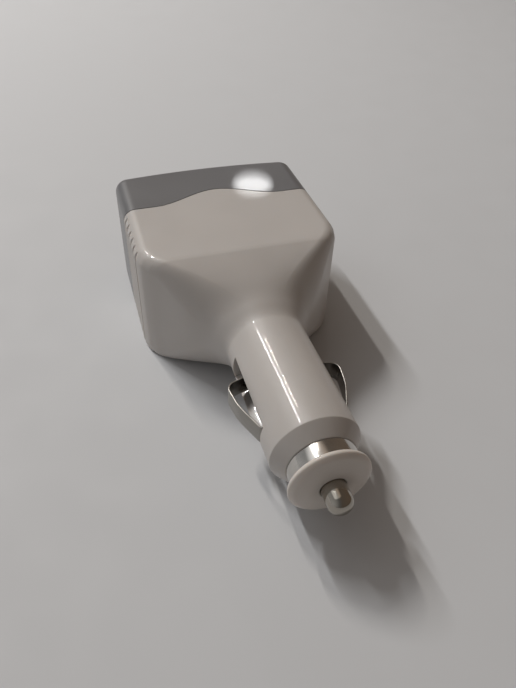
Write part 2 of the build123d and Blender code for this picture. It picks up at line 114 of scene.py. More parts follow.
def smooth_through(at, stations, column):
    """One of the stations' values at a place along the axis, on a smooth line through them all."""
    places = stations[:, 0]
    values = stations[:, column]
    steps = np.diff(values) / np.diff(places)
    slopes = np.zeros(len(values))
    alike = steps[1:] * steps[:-1] > 0
    slopes[1:-1][alike] = 2 * (steps[1:] * steps[:-1] / (steps[1:] + steps[:-1] + (~alike)))[alike]
    first = int(np.clip(np.searchsorted(places, at) - 1, 0, len(places) - 2))
    span = places[first + 1] - places[first]
    share = (at - places[first]) / span
    rest = 1 - share
    start = values[first] * (1 + 2 * share) + slopes[first] * span * share
    end = values[first + 1] * (1 + 2 * rest) - slopes[first + 1] * span * rest
    return start * rest ** 2 + end * share ** 2


def soft_step(share):
    """Goes from 0 to 1 with a level start and end."""
    held = np.clip(share, 0, 1)
    return held * held * (3 - 2 * held)


def seam_line(x):
    """Where the seam lies along the axis at a place across the head."""
    return seam_side - seam_rise * (1 - soft_step(np.abs(x) / seam_half_width))


def section_ring(along, half_width, half_height, upper, lower, roundness=0.0):
    """Points once round a section: flat sides and round corners, or an oval where roundness is 1."""
    sides = ((half_width, half_height, slot_half_angle, side_columns),
             (half_height, half_width, top_half_angle, top_columns))
    corners = (upper, upper, lower, lower)
    bend = np.arange(corner_columns) / corner_columns
    ring = []
    for quarter in range(4):
        turn = 1j ** quarter
        out, half_side, reach, columns = sides[quarter % 2]
        next_reach = sides[(quarter + 1) % 2][2]
        before, corner = corners[quarter - 1], corners[quarter]
        share = np.concatenate(([0.0], np.linspace(0.01, 0.99, columns - 1)))
        flat = turn * (out + 1j * (before - half_side + share * (2 * half_side - before - corner)))
        arc = turn * (out - corner + 1j * (half_side - corner) + corner * np.exp(0.5j * pi * bend))
        flat_angle = quarter * pi / 2 + reach * (2 * share - 1)
        arc_angle = quarter * pi / 2 + reach + bend * (pi / 2 - reach - next_reach)
        for straight, angle in ((flat, flat_angle), (arc, arc_angle)):
            oval = half_width * np.cos(angle) + 1j * half_height * np.sin(angle)
            ring.append(straight * (1 - roundness) + oval * roundness)
    ring = np.concatenate(ring)
    return np.column_stack((ring.real, np.broadcast_to(along, ring.shape), ring.imag))


def rounded_line(corners, steps=6):
    """Points along a line through corners given as (along, out, radius), with an arc at each corner."""
    places = [Vector(corner[:2]) for corner in corners]
    line = []
    for number, (place, corner) in enumerate(zip(places, corners)):
        if corner[2] == 0:
            line.append(place)
            continue
        back = (places[number - 1] - place).normalized()
        on = (places[(number + 1) % len(places)] - place).normalized()
        half_turn = back.angle(on) / 2
        centre = place + (back + on).normalized() * corner[2] / sin(half_turn)
        start = place + back * corner[2] / tan(half_turn) - centre
        end = place + on * corner[2] / tan(half_turn) - centre
        for step in range(steps + 1):
            spoke = start.lerp(end, step / steps) if step in (0, steps) else start.slerp(end, step / steps)
            line.append(centre + spoke.normalized() * corner[2])
    return line


def skin_over(name, rings, closed=False, openings=()):
    """A piece whose skin passes over rings of points, which run along the axis."""
    count = len(rings[0])
    faces = []
    for row in range(len(rings) if closed else len(rings) - 1):
        low = row * count
        high = (row + 1) % len(rings) * count
        for column in range(count):
            if (row, column) not in openings:
                after = (column + 1) % count
                faces.append((low + column, high + column, high + after, low + after))
    mesh = bpy.data.meshes.new(name)
    mesh.from_pydata(np.concatenate(rings).tolist(), [], faces)
    piece = bpy.data.objects.new(name, mesh)
    bpy.context.scene.collection.objects.link(piece)
    return piece


def place_node(tree, kind, inputs=None, **settings):
    """Adds a node to a tree; each input is a value or another node's output."""
    node = tree.nodes.new(kind)
    for name, value in settings.items():
        setattr(node, name, value)
    for name, value in (inputs or {}).items():
        if isinstance(value, bpy.types.NodeSocket):
            tree.links.new(value, node.inputs[name])
        else:
            node.inputs[name].default_value = value
    return node


def colour_blend(tree, factor, *stops):
    """Colour that follows a factor through stops of place and colour."""
    ramp = place_node(tree, "ShaderNodeValToRGB", {"Fac": factor})
    elements = ramp.color_ramp.elements
    while len(elements) < len(stops):
        elements.new(0.5)
    for element, (place, colour) in zip(elements, stops):
        element.position = place
        element.color = (*colour, 1.0)
    return ramp.outputs["Color"]


def shade(colour, amount):
    """The colour made lighter or darker."""
    return tuple(min(part * amount, 1.0) for part in colour)


def moulded_plastic(name, colour, gloss, ripple=0.01 * mm, coat=0.0, drift=0.02):
    """Moulded plastic: faint flow marks in the colour, slightly uneven gloss and a slow ripple."""
    material = bpy.data.materials.new(name)
    material.use_nodes = True
    tree = material.node_tree
    shader = tree.nodes["Principled BSDF"]
    place = place_node(tree, "ShaderNodeTexCoord").outputs["Object"]
    flow = place_node(tree, "ShaderNodeTexNoise", {"Vector": place, "Scale": 70.0, "Detail": 2.0})
    slow = place_node(tree, "ShaderNodeTexNoise", {"Vector": place, "Scale": 38.0, "Detail": 1.0})
    tint = colour_blend(tree, flow.outputs["Fac"],
                        (0.3, shade(colour, 1 - drift)), (0.7, shade(colour, 1 + drift)))
    dull = place_node(tree, "ShaderNodeMapRange", {
        "Value": flow.outputs["Fac"], "From Min": 0.3, "From Max": 0.7,
        "To Min": gloss * 0.92, "To Max": gloss * 1.1,
    })
    wave = place_node(tree, "ShaderNodeBump", {"Height": slow.outputs["Fac"], "Distance": ripple})
    tree.links.new(tint, shader.inputs["Base Color"])
    tree.links.new(dull.outputs["Result"], shader.inputs["Roughness"])
    tree.links.new(wave.outputs["Normal"], shader.inputs["Normal"])
    shader.inputs["Coat Weight"].default_value = coat
    shader.inputs["Coat Roughness"].default_value = 0.03
    return material


def geometry_tree(name, sizes):
    """A node tree for a mesh, with a named input for each size, and its input and output nodes."""
    tree = bpy.data.node_groups.new(name, "GeometryNodeTree")
    tree.interface.new_socket("Geometry", in_out="INPUT", socket_type="NodeSocketGeometry")
    tree.interface.new_socket("Geometry", in_out="OUTPUT", socket_type="NodeSocketGeometry")
    for size, kind in sizes.items():
        tree.interface.new_socket(size, in_out="INPUT", socket_type=f"NodeSocket{kind}")
    given = tree.nodes.new("NodeGroupInput").outputs
    return tree, given, tree.nodes.new("NodeGroupOutput")


def fit_tree(piece, tree, sizes):
    """Puts a node tree on a piece with these sizes."""
    modifier = piece.modifiers.new(tree.name, "NODES")
    modifier.node_group = tree
    for item in tree.interface.items_tree:
        if item.in_out == "INPUT" and item.name in sizes:
            modifier[item.identifier] = sizes[item.name]


def as_plain_mesh(piece, crease=35):
    """Turns a piece with modifiers into a plain smooth mesh, sharp only at its creases."""
    bpy.context.view_layer.update()
    shaped = piece.evaluated_get(bpy.context.evaluated_depsgraph_get())
    mesh = bpy.data.meshes.new_from_object(shaped)
    piece.modifiers.clear()
    piece.data = mesh
    mesh.name = piece.name
    mesh.shade_smooth()
    mesh.set_sharp_from_angle(angle=radians(crease))
    return piece


def give_wall(piece, thickness):
    """Gives a skin its wall, on the inside."""
    wall = piece.modifiers.new("wall", "SOLIDIFY")
    wall.thickness = thickness
    wall.offset = -1


def milky_plastic(name, colour):
    """White moulded plastic that lets a little light spread under its skin."""
    plastic = moulded_plastic(name, colour, 0.5, coat=0.24)
    shader = plastic.node_tree.nodes["Principled BSDF"]
    shader.inputs["Subsurface Weight"].default_value = 0.3
    shader.inputs["Subsurface Radius"].default_value = (1.0, 0.8, 0.65)
    shader.inputs["Subsurface Scale"].default_value = 1.6 * mm
    return plastic


white_plastic = milky_plastic("white_plastic", (0.5, 0.467, 0.441))

head_outline = section_ring(0, housing_high.x, housing_high.z, head_edge_radius, base_edge_radius)
seam_edge = seam_line(head_outline[:, 0])
housing_rings = []
lip_end = seam_edge + lip_rounding * cos(lip_turns[0])
for turn in lip_turns:
    inset = lip_rounding * (1 - sin(turn))
    ring = section_ring(0, housing_high.x - inset, housing_high.z - inset,
                        head_edge_radius - inset, base_edge_radius - inset)
    ring[:, 1] = lip_end - lip_rounding * cos(turn)
    housing_rings.append(ring)
for step in np.linspace(0, 1, head_rows, endpoint=False):
    ring = head_outline.copy()
    ring[:, 1] = lip_end + (shoulder_start - lip_end) * step
    housing_rings.append(ring)

# Stretches of the neck in millimetres, each with its own number of rows
neck_stretches = ((-26.6, -24.6, 14), (-24.6, -20.6, 9), (-20.6, -16.6, 16), (-16.6, 2.5, 44))
neck_rows = [np.linspace(start, end, count, endpoint=False) for start, end, count in neck_stretches]
for along in np.concatenate(neck_rows) * mm:
    sizes = [smooth_through(along, neck_sections, column) for column in (1, 2, 3, 4)]
    roundness = soft_step((along - neck_start) / (neck_end - neck_start))
    housing_rings.append(section_ring(along, *sizes, roundness))
slot_row = len(housing_rings) + root_rows
barrel_run = np.concatenate((np.linspace(neck_end, slot_start, root_rows, endpoint=False),
                             np.linspace(slot_start, slot_end, slot_rows + 1)))
barrel_line = [(along, barrel_root_radius + (barrel_radius - barrel_root_radius) * along / slot_end)
               for along in barrel_run]
barrel_line += rounded_line((
    (slot_end + 1 * mm, barrel_radius, 0),
    (barrel_straight_end, barrel_radius, 0.5 * mm),
    (barrel_end, barrel_end_radius, 0.35 * mm),
    (barrel_end, spigot_hole_radius, 0),
))
for along, radius in barrel_line:
    housing_rings.append(section_ring(along, radius, radius, radius, radius, 1.0))
columns_round = len(head_outline)
slot_openings = {(row, side * columns_round // 2 + column)
                 for row in range(slot_row, slot_row + slot_rows)
                 for side in (0, 1) for column in range(side_columns)}
rear_housing = skin_over("rear_housing_shell", housing_rings, openings=slot_openings)
give_wall(rear_housing, shell_wall)

grooves, given, made = geometry_tree("grip_grooves", {
    "Count": "Float", "Pitch": "Float", "Width": "Float", "Depth": "Float",
    "Lip": "Float", "Rear Edge": "Float", "Half Width": "Float",
})


def worked_out(tree, operation, *values):
    """One step of arithmetic in a node tree."""
    return place_node(tree, "ShaderNodeMath", dict(enumerate(values)), operation=operation).outputs[0]


def ramp_up(tree, value, end):
    """Rises softly from 0 to 1 as the value goes from 0 to the end."""
    return place_node(tree, "ShaderNodeMapRange", {"Value": value, "From Max": end},
                      interpolation_type="SMOOTHSTEP").outputs["Result"]


place = place_node(grooves, "GeometryNodeInputPosition").outputs["Position"]
parts = place_node(grooves, "ShaderNodeSeparateXYZ", {"Vector": place}).outputs
forward = worked_out(grooves, "SUBTRACT", given["Rear Edge"], parts["Y"])
within = worked_out(grooves, "MODULO", forward, given["Pitch"])
to_far_lip = worked_out(grooves, "SUBTRACT", given["Width"], within)
pressed = worked_out(grooves, "MULTIPLY", ramp_up(grooves, within, given["Lip"]),
                     ramp_up(grooves, to_far_lip, given["Lip"]))
length = worked_out(grooves, "MULTIPLY", given["Count"], given["Pitch"])
pressed = worked_out(grooves, "MULTIPLY", pressed, worked_out(grooves, "LESS_THAN", forward, length))
pressed = worked_out(grooves, "MULTIPLY", pressed, worked_out(grooves, "GREATER_THAN", forward, 0.0))
sunk = worked_out(grooves, "MULTIPLY", pressed, given["Depth"])
limit = worked_out(grooves, "SUBTRACT", given["Half Width"], sunk)
out = worked_out(grooves, "MINIMUM", worked_out(grooves, "ABSOLUTE", parts["X"]), limit)
out = worked_out(grooves, "MULTIPLY", out, worked_out(grooves, "SIGN", parts["X"]))
moved = place_node(grooves, "ShaderNodeCombineXYZ", {"X": out, "Y": parts["Y"], "Z": parts["Z"]})
groove_mesh = place_node(grooves, "GeometryNodeSetPosition",
                         {"Geometry": given["Geometry"], "Position": moved.outputs["Vector"]})
groove_mesh = place_node(grooves, "GeometryNodeRealizeInstances",
                         {"Geometry": groove_mesh.outputs["Geometry"]})
groove_mesh = place_node(grooves, "GeometryNodeSetMaterial",
                         {"Geometry": groove_mesh.outputs["Geometry"], "Material": white_plastic})
grooves.links.new(groove_mesh.outputs["Geometry"], made.inputs["Geometry"])
fit_tree(rear_housing, grooves, {
    "Count": 6.0, "Pitch": 3.4 * mm, "Width": 1.7 * mm, "Depth": 1.0 * mm, "Lip": 0.85 * mm,
    "Rear Edge": -24.9 * mm, "Half Width": housing_high.x,
})
as_plain_mesh(rear_housing)
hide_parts("rear_housing")
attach(rear_housing, "housing")

# Front cap: the silver-grey moulding that closes the head. Its bowed face holds the two outlets and
# a small round light, and it meets the housing at the wavy seam with a fine gap.
cap_low, cap_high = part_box("front_cap")
seam_gap = 0.2 * mm
front_bow = 1.8 * mm
front_corner = 4.0 * mm
side_run_end = cap_low.y + 6.0 * mm
corner_margin = 1.2 * mm
port_half_width = 6.75 * mm
port_half_height = 3.05 * mm
port_spacing = 11.0 * mm
light_hole_radius = 1.65 * mm
light_patch = 2.8 * mm
point_gap = 0.01 * mm


def bow_line(x):
    """Where the bowed front face lies along the axis at a place across the head."""
    return cap_low.y + front_bow * (x / cap_high.x) ** 2


side_run = np.linspace(seam_side - seam_gap, side_run_end, 12)
corner_turn = np.linspace(0, pi / 2, 9)
corner_x = cap_high.x - front_corner
corner_y = bow_line(corner_x) + front_corner
port_run = np.linspace(port_spacing + port_half_width, port_spacing - port_half_width, 9)
half_front = [corner_x - corner_margin, *port_run, *np.linspace(light_patch, -light_patch, 9)]
front_x = np.array(half_front + [-x for x in half_front[-10::-1]])
outline = [(cap_high.x, y, 1.0, 0.0) for y in side_run]
outline += [(corner_x + front_corner * cos(turn), corner_y - front_corner * sin(turn),
             cos(turn), -sin(turn)) for turn in corner_turn]
outline += [(x, bow_line(x), 0.0, -1.0) for x in front_x]
outline += [(-x, y, -nx, ny) for x, y, nx, ny in outline[:len(side_run) + len(corner_turn)][::-1]]

roll = np.linspace(0, pi / 2, 9)
half_height = cap_high.z
inner_levels = (9.0, 5.5, 3.05, 2.8, 2.1, 1.4, 0.7, 0.0, -0.7, -1.4, -2.1, -2.8, -3.05, -5.5, -9.0)
levels = [(head_edge_radius * (1 - sin(turn)), half_height - head_edge_radius * (1 - cos(turn)))
          for turn in roll]
levels += [(0.0, level * mm) for level in inner_levels]
levels += [(base_edge_radius * (1 - sin(turn)), base_edge_radius * (1 - cos(turn)) - half_height)
           for turn in roll[::-1]]

shell = bmesh.new()
rows = []
for inset, height in levels:
    rows.append([shell.verts.new((x - inset * nx, y - inset * ny, height)) for x, y, nx, ny in outline])
for upper, lower in zip(rows, rows[1:]):
    for number in range(len(outline) - 1):
        corners = (upper[number], upper[number + 1], lower[number + 1], lower[number])
        middle = sum((corner.co for corner in corners), Vector()) / 4
        in_port = abs(abs(middle.x) - port_spacing) < port_half_width and abs(middle.z) < port_half_height
        in_light = abs(middle.x) < light_patch and abs(middle.z) < light_patch
        if middle.y > cap_low.y + 2 * front_bow or not (in_port or in_light):
            shell.faces.new(corners)
rim = [vert for row in rows for vert in row
       if vert.co.y < cap_low.y + front_bow
       and abs(max(abs(vert.co.x), abs(vert.co.z)) - light_patch) < point_gap]
rim.sort(key=lambda vert: np.arctan2(vert.co.z, vert.co.x))
inner_rims = [rim]
for share in (0.4, 0.75, 1.0):
    ring = []
    for vert in rim:
        spoke = Vector((vert.co.x, 0, vert.co.z))
        spot = spoke.lerp(spoke.normalized() * light_hole_radius, share)
        ring.append(shell.verts.new((spot.x, bow_line(spot.x), spot.z)))
    inner_rims.append(ring)
for outer_ring, inner_ring in zip(inner_rims, inner_rims[1:]):
    for number in range(len(rim)):
        after = (number + 1) % len(rim)
        shell.faces.new((outer_ring[number], outer_ring[after], inner_ring[after], inner_ring[number]))
for row, order in ((rows[0], 1), (rows[-1], -1)):
    right, left = row[:len(side_run)], row[:-len(side_run) - 1:-1]
    front = row[len(side_run) - 1:1 - len(side_run)]
    across = np.linspace(0, 1, len(front))
    seam = [Vector((x, seam_line(x) - seam_gap, row[0].co.z))
            for x in row[0].co.x + across * (row[-1].co.x - row[0].co.x)]
    net = []
    for number, forward in enumerate(np.linspace(0, 1, len(right))[:-1]):
        line = [right[number]]
        for spot, end, share in list(zip(seam, front, across))[1:-1]:
            rear_line = right[0].co.lerp(left[0].co, share)
            front_line = right[-1].co.lerp(left[-1].co, share)
            side_line = right[number].co.lerp(left[number].co, share)
            line.append(shell.verts.new(spot.lerp(end.co, forward) + side_line
                                        - rear_line.lerp(front_line, forward)))
        net.append(line + [left[number]])
    for line, next_line in zip(net, net[1:] + [front]):
        for number in range(len(front) - 1):
            shell.faces.new((line[number], line[number + 1],
                             next_line[number + 1], next_line[number])[::order])
loose = [vert for vert in shell.verts if not vert.link_faces]
bmesh.ops.delete(shell, geom=loose, context="VERTS")
cap_mesh = bpy.data.meshes.new("front_cap_shell")
shell.to_mesh(cap_mesh)
shell.free()
front_cap = bpy.data.objects.new("front_cap_shell", cap_mesh)
bpy.context.scene.collection.objects.link(front_cap)
grey_plastic = moulded_plastic("grey_plastic", (0.138, 0.136, 0.141), 0.45, coat=0.3)
front_cap.data.materials.append(grey_plastic)
give_wall(front_cap, shell_wall)
as_plain_mesh(front_cap)
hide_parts("front_cap")
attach(front_cap, "housing")

# Contact carrier: the dark insulating core pressed into the barrel, moulded in matt black plastic.
# It holds the roots of both contacts and the fuse.


def finish_node(node, material):
    """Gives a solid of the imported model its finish."""
    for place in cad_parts[node].material_slots:
        place.material = material


carrier_plastic = moulded_plastic("carrier_plastic", (0.035, 0.032, 0.03), 0.45, ripple=0.03 * mm)
finish_node("contact_carrier", carrier_plastic)

# Side contacts: two bowed leaves of spring steel, bent from strip about 5 mm wide and 0.4 mm thick.
# Each is held by its root in the carrier, and its bow stands out of the barrel's slot.
contact_half_width = 2.45 * mm
contact_thickness = 0.4 * mm
contact_edge = 0.14 * mm
contact_path = rounded_line((
    (7.0 * mm, 35.3 * mm, 0),
    (7.0 * mm, 28.5 * mm, 0.8 * mm),
    (10.0 * mm, 28.1 * mm, 0.8 * mm),
    (12.9 * mm, 20.8 * mm, 16.0 * mm),
    (13.9 * mm, 14.0 * mm, 2.4 * mm),
    (8.0 * mm, 12.2 * mm, 0),
), steps=14)


def worked_metal(name, colour, gloss, marks, stretch=(1.0, 1.0, 1.0), mark_depth=0.003 * mm):
    """Bare metal: fine drawn or turned marks, uneven gloss and a slight change of colour."""
    material = bpy.data.materials.new(name)
    material.use_nodes = True
    tree = material.node_tree
    shader = tree.nodes["Principled BSDF"]
    place = place_node(tree, "ShaderNodeTexCoord").outputs["Object"]
    drawn = place_node(tree, "ShaderNodeMapping", {"Vector": place, "Scale": stretch}).outputs["Vector"]
    lines = place_node(tree, "ShaderNodeTexNoise", {"Vector": drawn, "Scale": marks, "Detail": 3.0})
    cloud = place_node(tree, "ShaderNodeTexNoise", {"Vector": place, "Scale": 260.0, "Detail": 4.0})
    tint = colour_blend(tree, cloud.outputs["Fac"], (0.3, shade(colour, 0.9)), (0.7, shade(colour, 1.06)))
    dull = place_node(tree, "ShaderNodeMapRange", {
        "Value": cloud.outputs["Fac"], "From Min": 0.3, "From Max": 0.7,
        "To Min": gloss * 0.75, "To Max": gloss * 1.35,
    })
    bump = place_node(tree, "ShaderNodeBump", {"Height": lines.outputs["Fac"], "Distance": mark_depth})
    tree.links.new(tint, shader.inputs["Base Color"])
    tree.links.new(dull.outputs["Result"], shader.inputs["Roughness"])
    tree.links.new(bump.outputs["Normal"], shader.inputs["Normal"])
    shader.inputs["Metallic"].default_value = 1.0
    return material


spring_leaf = worked_metal("spring_leaf", (0.36, 0.345, 0.32), 0.32, 900.0, (1.0, 1.0, 5.0), 0.001 * mm)


def bent_strip(path, half_width, thickness, edge):
    """Rings of points round a strip with soft edges, which follows a path in the first two directions."""
    edge_steps = np.linspace(0, pi / 2, 4)
    section = []
    for side_out, side_up in ((1, 1), (-1, 1), (-1, -1), (1, -1)):
        turns = edge_steps if side_out * side_up > 0 else edge_steps[::-1]
        section += [(side_out * (thickness / 2 - edge * (1 - cos(turn))),
                     side_up * (half_width - edge * (1 - sin(turn)))) for turn in turns]
    rings = []
    for number, spot in enumerate(path):
        before = path[max(number - 1, 0)]
        after = path[min(number + 1, len(path) - 1)]
        run = (after - before).normalized()
        rings.append(np.array([(spot.x + run.y * out, spot.y - run.x * out, up) for out, up in section]))
    return rings


def close_ends(piece):
    """Fills the open ends of a strip and turns its faces outward."""
    ends = bmesh.new()
    ends.from_mesh(piece.data)
    bmesh.ops.holes_fill(ends, edges=ends.edges)
    bmesh.ops.recalc_face_normals(ends, faces=ends.faces)
    ends.to_mesh(piece.data)
    ends.free()


contact_rings = bent_strip(contact_path, contact_half_width, contact_thickness, contact_edge)
for label, side in (("left", -1), ("right", 1)):
    contact = skin_over(f"{label}_contact_leaf", [ring * (side, 1, 1) for ring in contact_rings])
    close_ends(contact)
    contact.data.materials.append(spring_leaf)
    as_plain_mesh(contact)
    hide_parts(f"{label}_contact")
    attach(contact, f"{label}_leaf")

# Nose ring: a turned and polished metal ring between the barrel and the nose flange, clamped when the
# nose is screwed in.
ring_low, ring_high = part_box("nose_ring")


def turned_piece(name, corners, closed=False, columns=128):
    """A piece turned about the plug's axis, from a line of (along, out, radius) corners."""
    turn = np.linspace(0, 2 * pi, columns, endpoint=False)
    rings = [np.column_stack((out * np.cos(turn), np.full(columns, along), out * np.sin(turn)))
             for along, out in rounded_line(corners)]
    piece = skin_over(name, rings, closed)
    welded = bmesh.new()
    welded.from_mesh(piece.data)
    bmesh.ops.remove_doubles(welded, verts=welded.verts, dist=0.0001 * mm)
    bmesh.ops.recalc_face_normals(welded, faces=welded.faces)
    welded.to_mesh(piece.data)
    welded.free()
    return piece


nose_ring = turned_piece("nose_ring_band", (
    (ring_low.y, ring_high.x, 0.25 * mm),
    (ring_high.y, ring_high.x, 0.25 * mm),
    (ring_high.y, spigot_hole_radius, 0),
    (ring_low.y, spigot_hole_radius, 0),
), closed=True)
nose_ring.data.materials.append(
    worked_metal("bright_ring", (0.6, 0.58, 0.55), 0.14, 1.0, (0.0, 2600.0, 0.0), 0.0006 * mm))
as_plain_mesh(nose_ring)
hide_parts("nose_ring")
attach(nose_ring, "housing")

# Nose flange: the domed white cap that screws into the barrel, keeps the pin in and is taken off to
# change the fuse. Its colour is the housing's white plastic made lighter: painted light for the light that
# shines through the thin flange.
nose_low, nose_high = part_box("nose_cap")
nose_radius = nose_high.x
nose_back = ring_high.y
pin_hole_radius = 2.9 * mm
crown_radius = 4.9 * mm
collar_bore_radius = 4.2 * mm
spigot_radius = 5.0 * mm
pin_shoulder = nose_high.y - 5.2 * mm
nose_cap = turned_piece("nose_flange", (
    (nose_high.y - 0.02 * mm, pin_hole_radius, 0.3 * mm),
    (nose_high.y - 0.1 * mm, crown_radius, 8.0 * mm),
    (nose_back + 1.75 * mm, nose_radius - 1.0 * mm, 2.2 * mm),
    (nose_back + 0.85 * mm, nose_radius, 0.6 * mm),
    (nose_back, nose_radius - 0.3 * mm, 0.35 * mm),
    (nose_back, spigot_radius, 0),
    (nose_low.y, spigot_radius, 0.3 * mm),
    (nose_low.y, collar_bore_radius, 0),
    (pin_shoulder, collar_bore_radius, 0),
    (pin_shoulder, pin_hole_radius, 0),
), closed=True)
# Painted light: the flange's white is lighter than the housing's, standing in for light glowing through it
nose_cap.data.materials.append(milky_plastic("flange_painted_light_plastic", (0.62, 0.57, 0.525)))
as_plain_mesh(nose_cap)
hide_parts("nose_cap")
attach(nose_cap, "housing")

# Centre pin: the positive contact, turned from brass and nickel plated, with a rounded end. It slides
# in the nose flange and a spring behind the fuse pushes it out.
pin_low, pin_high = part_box("centre_pin")
pin_radius = 2.8 * mm
pin_collar_radius = pin_high.x
pin_collar_front = pin_shoulder - 0.1 * mm
pin_collar_rear = pin_collar_front - 1.7 * mm
pin_dome_height = 2.4 * mm
pin_tail_radius = 2.3 * mm
pin_dome = [(pin_high.y - pin_dome_height * (1 - cos(turn)), pin_radius * sin(turn), 0)
            for turn in np.linspace(0, pi / 2, 17)]
centre_pin = turned_piece("centre_pin_plated", (
    *pin_dome,
    (pin_collar_front, pin_radius, 0),
    (pin_collar_front, pin_collar_radius, 0.2 * mm),
    (pin_collar_rear, pin_collar_radius, 0.2 * mm),
    (pin_collar_rear, pin_tail_radius, 0),
    (pin_low.y, pin_tail_radius, 0.2 * mm),
    (pin_low.y, 0, 0),
), columns=96)
centre_pin.data.materials.append(
    worked_metal("nickel_pin", (0.43, 0.4, 0.355), 0.08, 1.0, (0.0, 3000.0, 0.0), 0.0003 * mm))
as_plain_mesh(centre_pin)
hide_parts("centre_pin")
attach(centre_pin, "plunger")

# Fuse: a glass tube with a plated metal cap on each end and a flat fusible strip inside. It lies loose
# in the carrier's bore, between the pin and the spring.
fuse_metal = worked_metal("fuse_metal", (0.66, 0.65, 0.62), 0.2, 700.0)
for node in ("fuse_cap_front", "fuse_cap_rear", "fuse_strip"):
    finish_node(node, fuse_metal)
fuse_glass = moulded_plastic("fuse_glass", (0.85, 0.9, 0.9), 0.04, ripple=0.01 * mm)
glass_shader = fuse_glass.node_tree.nodes["Principled BSDF"]
glass_shader.inputs["Transmission Weight"].default_value = 0.95
glass_shader.inputs["IOR"].default_value = 1.5
finish_node("fuse_tube", fuse_glass)

# Fuse spring and its terminal, the washer that joins the contacts, and the two leads to the board.
# The spring is coiled from steel wire, and the rest is stamped from brass sheet.
spring_low, spring_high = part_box("fuse_spring")
spring_wire = 0.3 * mm
coil, given, made = geometry_tree("coil_spring", {
    "Turns": "Float", "Coil Radius": "Float", "Wire Radius": "Float", "Length": "Float", "Start": "Vector",
})
turns = place_node(coil, "GeometryNodeCurveSpiral", {
    "Resolution": 40, "Rotations": given["Turns"], "Start Radius": given["Coil Radius"],
    "End Radius": given["Coil Radius"], "Height": given["Length"], "Reverse": True,
})
wire = place_node(coil, "GeometryNodeCurvePrimitiveCircle", {
    "Resolution": 12, "Radius": given["Wire Radius"],
})
coil_mesh = place_node(coil, "GeometryNodeCurveToMesh", {
    "Curve": turns.outputs["Curve"], "Profile Curve": wire.outputs["Curve"], "Fill Caps": True,
})
coil_mesh = place_node(coil, "GeometryNodeTransform", {
    "Geometry": coil_mesh.outputs["Mesh"], "Translation": given["Start"], "Rotation": (-pi / 2, 0.0, 0.0),
})
coil_mesh = place_node(coil, "GeometryNodeRealizeInstances", {"Geometry": coil_mesh.outputs["Geometry"]})
coil_mesh = place_node(coil, "GeometryNodeSetMaterial", {
    "Geometry": coil_mesh.outputs["Geometry"],
    "Material": worked_metal("spring_steel", (0.34, 0.34, 0.34), 0.25, 1500.0),
})
coil.links.new(coil_mesh.outputs["Geometry"], made.inputs["Geometry"])
fuse_spring = skin_over("fuse_spring_coil", [np.zeros((1, 3))])
fit_tree(fuse_spring, coil, {
    "Turns": 5.0, "Coil Radius": spring_high.x - spring_wire, "Wire Radius": spring_wire,
    "Length": spring_high.y - spring_low.y - 2 * spring_wire,
    "Start": (0.0, spring_low.y + spring_wire, 0.0),
})
as_plain_mesh(fuse_spring)
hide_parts("fuse_spring")
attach(fuse_spring, "housing")
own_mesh(fuse_spring)
stamped_brass = worked_metal("stamped_brass", (0.52, 0.36, 0.13), 0.28, 1200.0, (1.0, 0.2, 1.0))
for node in ("spring_terminal", "ground_washer", "positive_lead", "negative_lead"):
    finish_node(node, stamped_brass)

# Circuit board with the converter's parts: a green board between rails in the housing, two aluminium
# cans, a ferrite inductor, a moulded chip and diode, and small ceramic chips.
finish_node("circuit_board", moulded_plastic("board", (0.01, 0.085, 0.03), 0.35, ripple=0.02 * mm))
finish_node("power_inductor", moulded_plastic("ferrite", (0.03, 0.03, 0.032), 0.6, ripple=0.05 * mm))
can = worked_metal("capacitor_can", (0.5, 0.51, 0.53), 0.3, 1.0, (0.0, 0.0, 2000.0))
for node in ("input_capacitor", "output_capacitor"):
    finish_node(node, can)
chip_black = moulded_plastic("chip_black", (0.012, 0.012, 0.012), 0.55, ripple=0.01 * mm)
for node in ("converter_chip", "rectifier_diode"):
    finish_node(node, chip_black)
finish_node("chip_parts", moulded_plastic("ceramic", (0.27, 0.18, 0.1), 0.5, ripple=0.01 * mm))

# USB outlets: a folded tinned-steel shell around a white tongue with four gold-plated contacts each.
# The contacts are stamped strips with a bow near the tip, pressed into the tongue.
outlet_steel = worked_metal("outlet_steel", (0.56, 0.56, 0.56), 0.24, 900.0, (1.0, 0.2, 1.0))
outlet_insulator = moulded_plastic("outlet_insulator", (0.72, 0.7, 0.66), 0.4, ripple=0.02 * mm)
outlet_contact = worked_metal("outlet_contact", (0.72, 0.48, 0.14), 0.2, 900.0)
for label in ("left", "right"):
    finish_node(f"usb_shell_{label}", outlet_steel)
    finish_node(f"usb_tongue_{label}", outlet_insulator)

strip_half_width = 0.5 * mm
strip_edge = 0.05 * mm
strip_bow = 0.35 * mm
strip_low, strip_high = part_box("usb_contacts_left")
strip_level = (strip_low.z + strip_high.z) / 2
strip_path = rounded_line((
    (strip_level, strip_high.y, 0),
    (strip_level, strip_low.y + 3.6 * mm, 1.5 * mm),
    (strip_level - strip_bow, strip_low.y + 1.8 * mm, 1.2 * mm),
    (strip_level, strip_low.y + 0.2 * mm, 0),
))
strip_rings = bent_strip(strip_path, strip_half_width, strip_high.z - strip_low.z, strip_edge)
outlet_contacts = skin_over("outlet_contact_rows", [ring[:, ::-1] for ring in strip_rings])
close_ends(outlet_contacts)
rows_of_four, given, made = geometry_tree("rows_of_contacts", {
    "Outlets": "Int", "Spacing": "Float", "Pair Gap": "Float", "Pitch": "Float",
})
count = worked_out(rows_of_four, "MULTIPLY", given["Outlets"], 4.0)
spots = place_node(rows_of_four, "GeometryNodePoints", {"Count": count}).outputs["Points"]
number = place_node(rows_of_four, "GeometryNodeInputIndex").outputs["Index"]
outlet = worked_out(rows_of_four, "FLOOR", worked_out(rows_of_four, "DIVIDE", number, 4.0))
